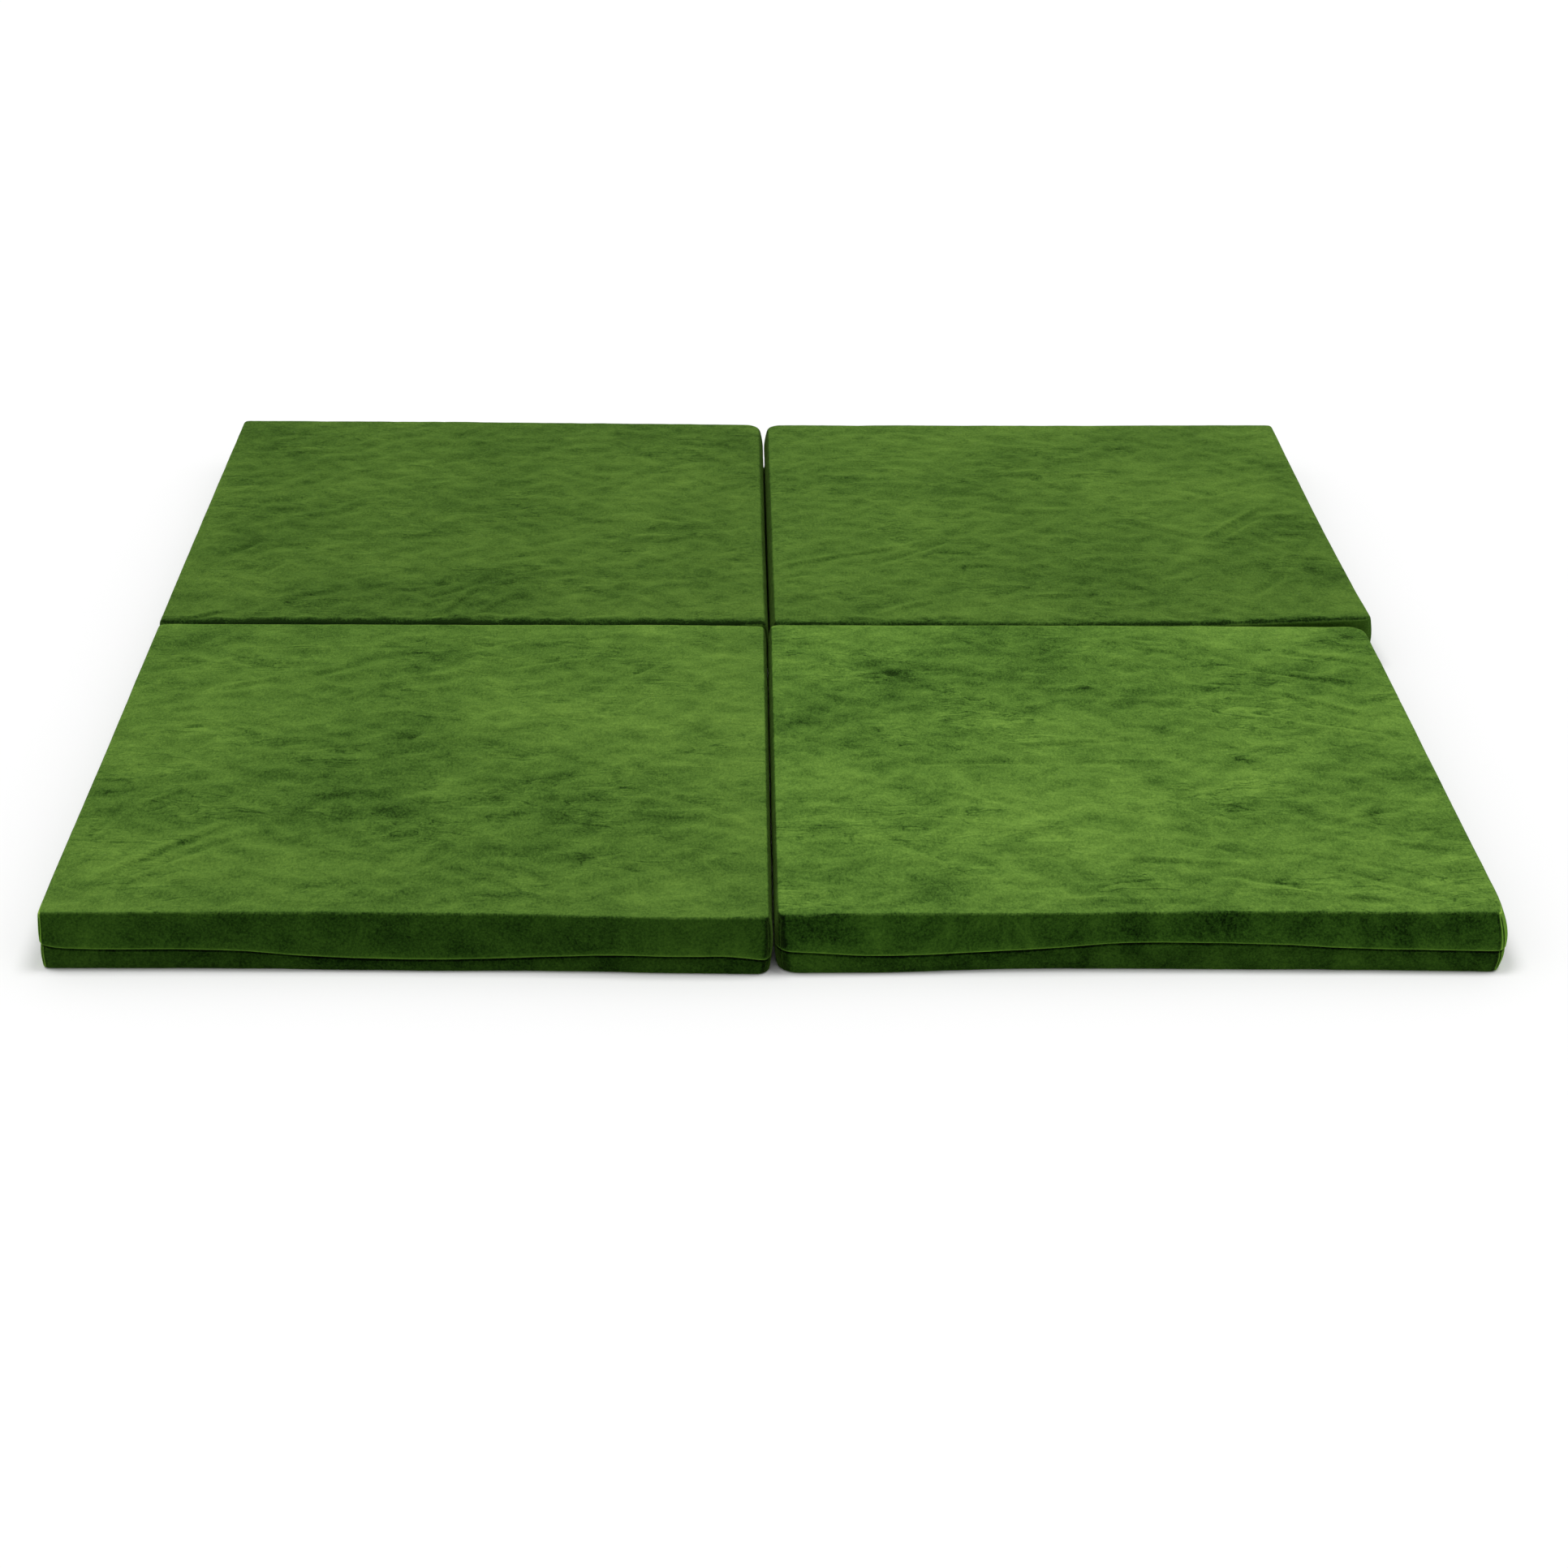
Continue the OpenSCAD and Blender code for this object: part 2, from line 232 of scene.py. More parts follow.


# ------------------------ small tools
def box_mm(node):
    """Lowest and highest corner of a CAD node, in millimetres."""
    low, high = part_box(node)
    return np.array(low) / MM, np.array(high) / MM


def curve(points, share):
    """A smooth curve through given points, read at each share of the way along."""
    if np.isscalar(points):
        return np.full(np.shape(share), float(points))
    x, y = np.array(points, float).T
    slope = np.gradient(y, x)
    share = np.clip(share, x[0], x[-1])
    i = np.clip(np.searchsorted(x, share) - 1, 0, len(x) - 2)
    width = x[i + 1] - x[i]
    t = (share - x[i]) / width
    rise = (3 - 2 * t) * t * t
    return y[i] * (1 - rise) + y[i + 1] * rise + width * t * (1 - t) * ((1 - t) * slope[i] - t * slope[i + 1])


def smooth(value):
    """0 below 0, 1 above 1, and an eased step between."""
    t = np.clip(value, 0, 1)
    return t * t * (3 - 2 * t)


def waves(points, size, seed, octaves=4):
    """Fractal noise from about -1 to 1 at each point, with blotches of about that size in millimetres."""
    shift = Vector((seed * 7.31, seed * 3.17, seed * 1.93))
    scaled = points / np.asarray(size, float)
    return np.array([noise.fractal(Vector(p) + shift, 0.9, 2.0, octaves) for p in scaled])


def add_mesh(name, points, faces):
    """A smooth-shaded mesh object from points in millimetres."""
    mesh = bpy.data.meshes.new(name)
    mesh.from_pydata((np.asarray(points) * MM).tolist(), [], [list(f) for f in faces])
    mesh.polygons.foreach_set("use_smooth", [True] * len(mesh.polygons))
    mesh.update()
    obj = bpy.data.objects.new(name, mesh)
    bpy.context.scene.collection.objects.link(obj)
    return obj


def set_mark(obj, name, values):
    """Store one number a vertex, for the material to read."""
    mark = obj.data.attributes.get(name) or obj.data.attributes.new(name, "FLOAT", "POINT")
    mark.data.foreach_set("value", np.asarray(values, np.float32))


def points_of(obj):
    """The mesh's points in millimetres."""
    co = np.zeros(len(obj.data.vertices) * 3)
    obj.data.vertices.foreach_get("co", co)
    return co.reshape(-1, 3) / MM


def set_points(obj, points):
    """Move the mesh's points, given in millimetres."""
    obj.data.vertices.foreach_set("co", (points * MM).ravel())
    obj.data.update()


def normals_of(obj):
    n = np.zeros(len(obj.data.vertices) * 3)
    obj.data.vertex_normals.foreach_get("vector", n)
    return n.reshape(-1, 3)


def bake_modifiers(obj):
    """Makes the modifiers' result the object's own mesh."""
    graph = bpy.context.evaluated_depsgraph_get()
    made = bpy.data.meshes.new_from_object(obj.evaluated_get(graph))
    old = obj.data
    obj.modifiers.clear()
    obj.data = made
    bpy.data.meshes.remove(old)
    made.polygons.foreach_set("use_smooth", [True] * len(made.polygons))


def subdivide(obj):
    step = obj.modifiers.new("smooth", "SUBSURF")
    step.levels = step.render_levels = 1
    bake_modifiers(obj)


def thicken(obj):
    step = obj.modifiers.new("cloth", "SOLIDIFY")
    step.thickness = CLOTH_THICK * MM
    step.offset = -1
    step.use_even_offset = True
    step.thickness_clamp = 1.0
    bake_modifiers(obj)


# ------------------------ a panel's shape
class Panel:
    """One foam panel: its size comes from its CAD top cover, and its looks from LOOKS."""

    def __init__(self, name):
        self.name = name
        self.look = LOOKS[name]
        low, high = box_mm(name + "_top_cover")
        self.low, self.size = low[:2], high[:2] - low[:2]
        self.top = high[2]
        self.seam = low[2]
        self.zip_side = "near" if name.startswith("near") else "far"
        self.wall_side = "far" if self.zip_side == "near" else "near"
        self.top_radius = self.corner_table(0)
        self.bottom_radius = self.corner_table(1)

    def corner_table(self, which):
        """Corner radii by [near, far][left, right]."""
        look = self.look["corner"]
        rows = [[look[y + "_" + x][which] for x in ("left", "right")] for y in ("near", "far")]
        return np.array(rows, float)

    def shares(self, points):
        """How far each point is across the panel, from left to right and from near to far."""
        return (points[:, 0] - self.low[0]) / self.size[0], (points[:, 1] - self.low[1]) / self.size[1]

    def lip_height(self, x, y):
        """Height of the seam between the two covers at a point of the outline (in panel millimetres)."""
        from_zip = y if self.zip_side == "near" else self.size[1] - y
        wavy = curve(self.look["lip"], x / self.size[0])
        return self.seam + (wavy - self.seam) * np.exp(-from_zip / LIP_REACH)

    def nearest_corner(self, x, y, height):
        """Distances to the nearest sides, whether those are right and far, and the corner's radius."""
        a, b = np.minimum(x, self.size[0] - x), np.minimum(y, self.size[1] - y)
        right, far = x > self.size[0] - x, y > self.size[1] - y
        tall = np.clip(height / self.top, 0, 1)
        corner = (far.astype(int), right.astype(int))
        r = self.bottom_radius[corner] + (self.top_radius[corner] - self.bottom_radius[corner]) * tall
        return a, b, right, far, r

    def keep_inside(self, points, inset):
        """Pull points in where they come nearer than the inset to the rounded upright corners."""
        x, y = points[:, 0] - self.low[0], points[:, 1] - self.low[1]
        a, b, right, far, r = self.nearest_corner(x, y, points[:, 2])
        away = np.hypot(np.maximum(r - a, 0), np.maximum(r - b, 0))
        share = np.where((a < r) & (b < r) & (away > r - inset), (r - inset) / np.maximum(away, 1e-9), 1.0)
        a, b = r - (r - a) * share, r - (r - b) * share
        moved = points.copy()
        moved[:, 0] = self.low[0] + np.where(right, self.size[0] - a, a)
        moved[:, 1] = self.low[1] + np.where(far, self.size[1] - b, b)
        return moved

    def plan(self, x, y, height):
        """Round the rectangle's corners: new x and y, outward normal, inset and corner radius."""
        a, b, right, far, r = self.nearest_corner(x, y, height)
        s, t = np.clip((r - a) / r, 0, 1), np.clip((r - b) / r, 0, 1)
        s2, t2 = s * np.sqrt(1 - t * t / 2), t * np.sqrt(1 - s * s / 2)
        inside = (s > 0) & (t > 0)
        reach = np.maximum(np.hypot(s2, t2), 1e-9)
        nx = np.where(inside, s2 / reach, np.where(a < b, 1.0, 0.0)) * np.where(right, 1, -1)
        ny = np.where(inside, t2 / reach, np.where(a < b, 0.0, 1.0)) * np.where(far, 1, -1)
        inset = np.where(inside, r * (1 - reach), np.minimum(a, b))
        a, b = np.where(inside, r * (1 - s2), a), np.where(inside, r * (1 - t2), b)
        x, y = np.where(right, self.size[0] - a, a), np.where(far, self.size[1] - b, b)
        return x, y, nx, ny, inset, r

    def edge_size(self, edges, x, y, nx, ny, r):
        """Reach and drop of the rounded edge, which shrinks to the corner radius near each corner."""
        a, b = np.minimum(x, self.size[0] - x), np.minimum(y, self.size[1] - y)
        sizes = []
        for which in (0, 1):
            at_side = np.where(nx > 0, edges["right"][which], edges["left"][which])
            at_end = np.where(ny > 0, edges["far"][which], edges["near"][which])
            by_side = np.minimum(at_side, r) + np.maximum(at_side - r, 0) * smooth((b - r) / 50)
            by_end = np.minimum(at_end, r) + np.maximum(at_end - r, 0) * smooth((a - r) / 50)
            sizes.append(by_side * nx * nx + by_end * ny * ny)
        return sizes

    def warp(self, points, hold_zip=False):
        """Move points of the plain box to the panel's own shape: sides that bulge or draw in, and a crown.

        With hold_zip, nothing moves out towards the zip, which stays where it is.
        """
        u, v = self.shares(points)
        tall = np.clip(points[:, 2] / self.top, 0, 1)
        belly = np.sin(math.pi * tall)
        moved = points.copy()
        reach = {
            "left": (u * self.size[0], v, 0, -1), "right": ((1 - u) * self.size[0], v, 0, 1),
            "near": (v * self.size[1], u, 1, -1), "far": ((1 - v) * self.size[1], u, 1, 1),
        }
        for side, (inset, share, axis, sign) in reach.items():
            swell = belly * np.exp(-np.maximum(inset, 0) / BELLY_REACH)
            out = curve(self.look["side"][side], share) + curve(self.look["belly"][side], share) * swell
            if side == "near":
                out = out + curve(self.look["foot"], share) * (1 - tall) ** 1.5
                out = out + curve(self.look["brow"], share) * smooth((tall - 0.45) / 0.55)
            if hold_zip and side == self.zip_side:
                out = np.minimum(out, 0)
            moved[:, axis] += sign * out * (1 - smooth(inset / WEAR_REACH))
        crown = CROWN * (1 - (2 * u - 1) ** 4) * (1 - (2 * v - 1) ** 4)
        moved[:, 2] += crown * smooth((tall - 0.5) * 2)
        return moved


def lines_across(length, start, end, pitch):
    """Places of the grid lines: close together over the rounded edges, then even."""
    near = [start * s for s in ROUND_STEPS] + [start + m for m in BEYOND_ROUND]
    far = [end * s for s in ROUND_STEPS] + [end + m for m in BEYOND_ROUND]
    count = max(2, round((length - near[-1] - far[-1]) / pitch) + 1)
    middle = np.linspace(near[-1], length - far[-1], count)
    return np.concatenate([near[:-1], middle, [length - f for f in reversed(far[:-1])]])


def grid_faces(columns, rows):
    """The faces of a grid of points, which is laid out row by row."""
    firsts = [j * columns + i for j in range(rows - 1) for i in range(columns - 1)]
    return [(first, first + 1, first + columns + 1, first + columns) for first in firsts]


def outline_of(columns, rows):
    """The grid's outer vertices as (column, row), anticlockwise seen from above."""
    loop = [(i, 0) for i in range(columns - 1)] + [(columns - 1, j) for j in range(rows - 1)]
    loop += [(i, rows - 1) for i in range(columns - 1, 0, -1)] + [(0, j) for j in range(rows - 1, 0, -1)]
    return loop


def plate(panel, edges, pitch, level, down):
    """The flat of a tray, with rounded edges: points, faces, and its outline's indices and places."""
    xs = lines_across(panel.size[0], edges["left"][0], edges["right"][0], pitch)
    ys = lines_across(panel.size[1], edges["near"][0], edges["far"][0], pitch)
    gx, gy = (g.ravel() for g in np.meshgrid(xs, ys))
    px, py, nx, ny, inset, r = panel.plan(gx, gy, np.full(len(gx), level))
    reach, drop = panel.edge_size(edges, gx, gy, nx, ny, r)
    turn = (1 - np.clip(inset / reach, 0, 1)) * math.pi / 2
    push = np.where(inset < reach, inset - reach * (1 - np.sin(turn)), 0)
    points = np.stack([px + nx * push, py + ny * push, level + down * drop * (1 - np.cos(turn))], axis=1)
    loop = np.array([j * len(xs) + i for i, j in outline_of(len(xs), len(ys))])
    return points, grid_faces(len(xs), len(ys)), loop, gx[loop], gy[loop]


def tray(panel, edges, pitch, from_top, rim, flare, hem):
    """A tray over the panel's rectangle: a plate, a skirt down to rim(x, y), and a turned hem.

    The top cover is a tray from the top, and the bottom cover is one from the floor, turned over. flare(x, y)
    is how far the skirt's rim stands out. hem has the inset of each of its rings, and how far the ring goes
    past the rim on the zip's side. Returns points, faces, and each point's ring, from 0 on the plate.
    """
    level, down = (panel.top, -1) if from_top else (0.0, 1)
    flat, faces, upper, lx, ly = plate(panel, edges, pitch, level, down)
    points, ring = [flat], [np.zeros(len(flat))]
    start, end, out = flat[upper, 2], rim(lx, ly), flare(lx, ly)
    at_corner = np.isin(lx, (0, panel.size[0])) & np.isin(ly, (0, panel.size[1]))
    near_zip = zip_share(panel, ly, 15)
    rings = [(start + (end - start) * share, out * smooth((share - 0.6) / 0.4)) for share in SKIRT_STEPS]
    rings += [(end + down * (0.3 + (past - 0.3) * near_zip), out - turned) for turned, past in hem]
    for count, (height, stand) in enumerate(rings):
        px, py, nx, ny, _, _ = panel.plan(lx, ly, height)
        stand = stand - CORNER_SEAM * at_corner
        first = sum(len(p) for p in points)
        points.append(np.stack([px + nx * stand, py + ny * stand, height], axis=1))
        ring.append(np.full(len(lx), count + 1))
        lower = first + np.arange(len(lx))
        faces += list(zip(upper, lower, np.roll(lower, -1), np.roll(upper, -1)))
        upper = lower
    points = np.concatenate(points)
    points[:, :2] += panel.low
    if not from_top:
        faces = [tuple(reversed(f)) for f in faces]
    return panel.warp(points), faces, np.concatenate(ring).astype(int)


def beside_zip(panel, points):
    """Whether each point of a cover is on the side that has the zip."""
    return np.abs(from_zip(panel, points[:, 1] - panel.low[1])) < ZIP_BAND


def zip_share(panel, y, reach):
    """1 on the side that has the zip, falling away within about that reach."""
    return np.exp(-from_zip(panel, y) / reach)


def from_zip(panel, y):
    """Distance from the side that has the zip."""
    return y if panel.zip_side == "near" else panel.size[1] - y


# ------------------------ cloth simulation
SETTLE_FRAMES = 18
SPARE_CLOTH = 0.011  # the top is cut this much too large, so it buckles softly
HELD_BY_FOAM = 0.3  # how firmly the foam holds the cloth that lies on it, from 0 to 1
HELD_EDGE = 22  # the cloth is held tighter within this distance of the top's edge
SLIDE_CAP, SINK_CAP, RISE_CAP = 0.8, 1.0, 1.3  # how far the simulation may move a point


def settle(obj, panel):
    """Relax the cover's top in a short cloth simulation, over foam that holds it softly."""
    flat = points_of(obj)
    u, v = panel.shares(flat)
    inset = np.minimum(np.minimum(u, 1 - u) * panel.size[0], np.minimum(v, 1 - v) * panel.size[1])
    free = smooth(inset / HELD_EDGE) * (flat[:, 2] > panel.top - 1)
    hold = obj.vertex_groups.new(name="hold")
    for i, share in enumerate(free):
        hold.add([i], 1 + (HELD_BY_FOAM - 1) * float(share), "REPLACE")
    uneven = waves(flat, (60, 32, 60), panel.look["seed"] + 7, 2)
    nudge = 0.5 * uneven + 0.5 * placed_wrinkles(flat, panel)
    start = flat.copy()
    start[:, 2] += nudge * free
    set_points(obj, start)
    cloth = obj.modifiers.new("cloth", "CLOTH")
    cloth.collision_settings.use_collision = False
    cloth.point_cache.frame_start, cloth.point_cache.frame_end = 1, SETTLE_FRAMES
    fabric = cloth.settings
    fabric.quality = 5
    fabric.mass = 0.3
    fabric.tension_stiffness = fabric.compression_stiffness = 15
    fabric.shear_stiffness = 5
    fabric.bending_stiffness = 6
    fabric.shrink_min = -SPARE_CLOTH
    fabric.vertex_group_mass = hold.name
    fabric.effector_weights.gravity = 0
    for step in range(1, SETTLE_FRAMES + 1):
        bpy.context.scene.frame_set(step)
    bake_modifiers(obj)
    obj.vertex_groups.clear()
    bpy.context.scene.frame_set(1)
    moved = points_of(obj) - flat
    moved = np.clip(moved, (-SLIDE_CAP, -SLIDE_CAP, -SINK_CAP), (SLIDE_CAP, SLIDE_CAP, RISE_CAP))
    set_points(obj, flat + moved * free[:, None])


# ------------------------ wrinkles and marks
WRINKLE_GAIN = 1.3
WRINKLE_NARROWING = 0.8
DEEPEST, HIGHEST = -1.9, 2.2  # limits of all the wrinkles together
TOP_WAVES = ((0.35, (70, 45, 60)), (0.22, (22, 14, 20)))  # (height, size) of soft unevenness
SIDE_WAVES = ((0.45, (60, 60, 90)), (0.15, (14, 14, 30)))
# Painted light and shade on the pile, and how far they reach. A seam is placed by how far its side has turned
# towards left or right: 0 on a near side and 1 on a side.
CREST_PAINTED_LIGHT = 0.16
RIM_PAINTED_HIGHLIGHT, RIM_WIDTH = 1.0, 5
FOLD_SHADE_WIDTH = 24
GAP_PAINTED_SHADE, GAP_REACH = 0.88, 30
FOLD_SIDE_PAINTED_LIGHT = 0.9
CORNER_PAINTED_SHEEN, SEAM_PAINTED_SHADE = 3.8, 0.8
CORNER_REACH, CORNER_FADE = 40, 60
SEAM_TURN, BEYOND_SEAM_TURN = 0.26, 0.38


def ridge(points, start, end, width, height, bow):
    """Height of one soft wrinkle at each point: a crest with a hollow beside it, tapered at both ends."""
    start, end = np.array(start), np.array(end)
    way = end - start
    length = np.linalg.norm(way)
    way = way / length
    offset = points[:, :2] - start
    t = (offset @ way) / length
    across = offset @ np.array([-way[1], way[0]]) - bow * 4 * t * (1 - t)
    taper = np.sin(math.pi * np.clip(t, 0, 1)) ** 0.6
    width = width * WRINKLE_NARROWING
    crest = np.exp(-((across / width) ** 2))
    hollow = np.exp(-(((across + 1.7 * width) / (1.3 * width)) ** 2))
    return height * taper * (crest - 0.5 * hollow)


def small_wrinkles(panel, count=70):
    """Seeded short wrinkles that follow the pull of the cloth in each panel."""
    draw = np.random.default_rng(panel.look["seed"])
    made = []
    for _ in range(count):
        centre = panel.low + panel.size * draw.uniform(0.03, 0.97, 2)
        angle = panel.look["pull"] + draw.normal(0, 0.45)
        half = draw.uniform(12, 42) * np.array([math.cos(angle), math.sin(angle)])
        height = draw.uniform(0.25, 0.6) * draw.choice([-1, 1])
        made.append((centre - half, centre + half, draw.uniform(3.5, 6.5), height, draw.normal(0, 2.5)))
    return made


def placed_wrinkles(points, panel):
    """Height of the panel's own listed wrinkles at each point."""
    rise = np.zeros(len(points))
    for *ends, width, height, bow in WRINKLES[panel.name]:
        start, end = panel.low + panel.size * (np.reshape(ends, (2, 2)) / 100)
        rise += ridge(points, start, end, width, height, bow)
    return rise


def top_patches_and_painted_light(points, rise, panel):
    """Painted light on the top's wrinkle crests and shade in their hollows, and patches of lighter and darker
    pile.
    """
    # painted light on wrinkle crests, painted shade in their hollows
    nap_and_painted_light = CREST_PAINTED_LIGHT * np.clip(rise, -1.5, 1.5)
    for *place, radius, amount in PATCHES[panel.name]:
        away = (points[:, :2] - panel.low) / panel.size - np.array(place) / 100
        nap_and_painted_light += amount * np.exp(-(away ** 2).sum(axis=1) / (radius / 100) ** 2)
    return nap_and_painted_light


def fold_painted_light(points, panel):
    """Painted highlight on the near panels' tops along the fold, and painted shade on the far panels' tops
    there.
    """
    share, _ = panel.shares(points)
    out = curve(panel.look["side"][panel.wall_side], share)
    inset = panel.size[1] - from_zip(panel, points[:, 1] - panel.low[1]) + out
    if panel.zip_side == "near":
        # painted highlight along the near panels' far edge
        return RIM_PAINTED_HIGHLIGHT * smooth((RIM_WIDTH - inset) / 3)
    # painted shade on the far panels beside the fold
    return -panel.look["fold_shade"] * smooth((FOLD_SHADE_WIDTH - inset) / 20)


def side_painted_light(points, normals, panel):
    """Painted light and shade on the sides.

    A painted sheen lights the side beyond the upright seam of the outer near corners, painted shade darkens
    that seam, painted light brightens the far panels' fold side, and painted shade darkens the gap between
    panels.
    """
    left = panel.name.endswith("left")
    inner = panel.low[0] + panel.size[0] * left
    outer = panel.low[0] + panel.size[0] * (not left)
    away_x, away_y = np.abs(points[:, 0] - outer), points[:, 1] - panel.low[1]
    below = panel.top - points[:, 2]
    sideways = np.abs(normals[:, 0])
    # painted shade on the walls of the gap between the left and right panels
    mark = -GAP_PAINTED_SHADE * smooth((sideways - 0.15) / 0.3) * (np.abs(points[:, 0] - inner) < GAP_REACH)
    if panel.zip_side == "near":
        beside = np.exp(-((away_x / CORNER_REACH) ** 2)) * smooth((CORNER_FADE - away_y) / CORNER_FADE)
        # painted sheen beyond the upright seam of the outer near corner
        mark += beside ** 2 * CORNER_PAINTED_SHEEN * smooth((sideways - BEYOND_SEAM_TURN) / 0.15)
        at_seam = np.exp(-(((sideways - SEAM_TURN) / 0.1) ** 2))
        # painted shade in the groove of that seam
        mark -= beside * SEAM_PAINTED_SHADE * at_seam * smooth((below - 2) / 4)
    else:
        # painted light on the far panels' fold side
        mark += FOLD_SIDE_PAINTED_LIGHT * smooth((-normals[:, 1] - 0.5) / 0.3)
    return mark


def add_wrinkles(obj, panel):
    """Wrinkle the top of a cover, and ripple its sides a little."""
    points, normals = points_of(obj), normals_of(obj)
    on_top = smooth((normals[:, 2] - 0.4) / 0.5)
    rise = WRINKLE_GAIN * placed_wrinkles(points, panel)
    for wrinkle in small_wrinkles(panel):
        rise += WRINKLE_GAIN * ridge(points, *wrinkle)
    # painted light and shade, with patches of pile, stored for the material
    nap_and_painted_light = (top_patches_and_painted_light(points, rise, panel) + fold_painted_light(points, panel)) * on_top
    nap_and_painted_light += side_painted_light(points, normals, panel) * (1 - on_top ** 4)
    set_mark(obj, "nap_and_painted_light", nap_and_painted_light)
    seed = panel.look["seed"]
    for i, (height, size) in enumerate(TOP_WAVES):
        rise += height * waves(points, size, seed + i)
    ripple = sum(height * waves(points, size, seed + 2 + i) for i, (height, size) in enumerate(SIDE_WAVES))
    faces_zip = normals[:, 1] ** 2 * (from_zip(panel, points[:, 1] - panel.low[1]) < 40)
    ripple *= 0.5 + 0.8 * faces_zip
    move = rise * on_top + ripple * (1 - on_top)
    points += normals * np.clip(move, DEEPEST, HIGHEST)[:, None]
    points[:, 2] = np.minimum(points[:, 2], panel.top + HIGHEST_RISE)
    set_points(obj, points)


# ------------------------ pieces of a panel
def top_cover(panel):
    """Velvet top with its skirt, down to the lip that hides the zip."""

    def flare(x, y):
        _, _, _, ny, _, _ = panel.plan(x, y, np.full(len(x), panel.seam))
        return -0.5 + 2.3 * ny * ny * zip_share(panel, y, 6)

    edges = panel.look["edge"]
    points, faces, ring = tray(panel, edges, GRID_PITCH, True, panel.lip_height, flare, TOP_HEM)
    obj = add_mesh(panel.name + "_top_velvet", points, faces)
    # painted highlight along the lip that hides the zip
    set_mark(obj, "lip_painted_light", np.array((0, *LIP_PAINTED_HIGHLIGHT))[ring] * beside_zip(panel, points))
    settle(obj, panel)
    subdivide(obj)
    add_wrinkles(obj, panel)
    thicken(obj)
    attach(obj, panel.name)
    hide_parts(panel.name + "_top_cover", panel.name + "_zip_flap")
    return obj


def bottom_cover(panel):
    """Underside with the lower part of the sides, up to just below the lip."""

    def rim(x, y):
        return panel.lip_height(x, y) - 0.4 - 4.2 * zip_share(panel, y, 15)

    def flare(x, y):
        return -0.5 - 1.1 * zip_share(panel, y, 10)

    edges = {side: UNDER_EDGE for side in ("left", "right", "near", "far")}
    points, faces, ring = tray(panel, edges, UNDERSIDE_PITCH, False, rim, flare, UNDER_HEM)
    obj = add_mesh(panel.name + "_under_velvet", points, faces)
    # painted shade on the cloth behind the lip
    set_mark(obj, "lip_painted_light", np.array((0, *UNDER_PAINTED_SHADE))[ring] * beside_zip(panel, points))
    subdivide(obj)
    points, normals = points_of(obj), normals_of(obj)
    points += normals * (0.4 * waves(points, (70, 70, 60), panel.look["seed"] + 5))[:, None]
    points[:, 2] = np.maximum(points[:, 2], 0.1)
    set_points(obj, points)
    # painted light and shade on the lower sides
    set_mark(obj, "nap_and_painted_light", side_painted_light(points, normals, panel))
    thicken(obj)
    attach(obj, panel.name)
    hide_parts(panel.name + "_bottom_cover")
    return obj


def foam_block(panel):
    """The foam inside the covers, as a rounded block with the panel's own shape."""
    low, high = box_mm(panel.name + "_foam_core")
    high[2] -= FOAM_DIP
    mesh = bmesh.new()
    bmesh.ops.create_cube(mesh, size=1)
    bmesh.ops.subdivide_edges(mesh, edges=mesh.edges[:], cuts=FOAM_CUTS, use_grid_fill=True)
    points = np.array([v.co for v in mesh.verts])
    faces = [[v.index for v in f.verts] for f in mesh.faces]
    mesh.free()
    steps = np.linspace(-0.5, 0.5, FOAM_CUTS + 2)
    ends = np.array([0, 0.3 * FOAM_EDGE, FOAM_EDGE])
    for axis in range(3):
        length = high[axis] - low[axis]
        middle = np.linspace(2 * FOAM_EDGE, length - 2 * FOAM_EDGE, FOAM_CUTS + 2 - 2 * len(ends))
        places = np.concatenate([ends, middle, length - ends[::-1]])
        points[:, axis] = low[axis] + np.interp(points[:, axis], steps, places)
    core = np.clip(points, low + FOAM_EDGE, high - FOAM_EDGE)
    away = points - core
    far = np.linalg.norm(away, axis=1, keepdims=True)
    points = np.where(far > FOAM_EDGE, core + away / np.maximum(far, 1e-9) * FOAM_EDGE, points)
    points = panel.keep_inside(points, FOAM_INSET)
    obj = add_mesh(panel.name + "_foam", panel.warp(points, hold_zip=True), faces)
    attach(obj, panel.name)
    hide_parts(panel.name + "_foam_core")
    return obj


# ------------------------ fold webs
WEB_STEPS = 12
WEB_PITCH = 9
WEB_TUCK = 3  # how far each edge of a web goes in under the velvet
TOP_WEB_DROP = 5.5  # below the top of the CAD web
CENTRE_WEB_RISE = 2.6  # above the top of the CAD web


def web_mesh(name, near_edge, far_edge, sag, seed):
    """A strip of cloth from one row of points to another, hanging slack between them."""
    t = np.linspace(0, 1, WEB_STEPS + 1)[None, :, None]
    points = near_edge[:, None] + (far_edge - near_edge)[:, None] * t
    points = points + np.array([0, 0, -1]) * sag[:, None, None] * 4 * t * (1 - t)
    points = points.reshape(-1, 3)
    faces = [(a, d, c, b) for a, b, c, d in grid_faces(WEB_STEPS + 1, len(near_edge))]
    points[:, 2] += 0.4 * waves(points, (25, 10, 10), seed)
    return add_mesh(name, points, faces)


def edge_row(axis, steps, across, height):
    """A row of points along one axis, at the given places across it."""
    row = [steps, across] if axis == 0 else [across, steps]
    return np.stack([*row, np.full(len(steps), height)], axis=1)


def lay_web(name, rows, sag, seed):
    """A web of cloth between two rows of points, which takes the CAD web's place."""
    obj = web_mesh(name + "_cloth", *rows, sag, seed)
    thicken(obj)
    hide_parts(name)
    return obj


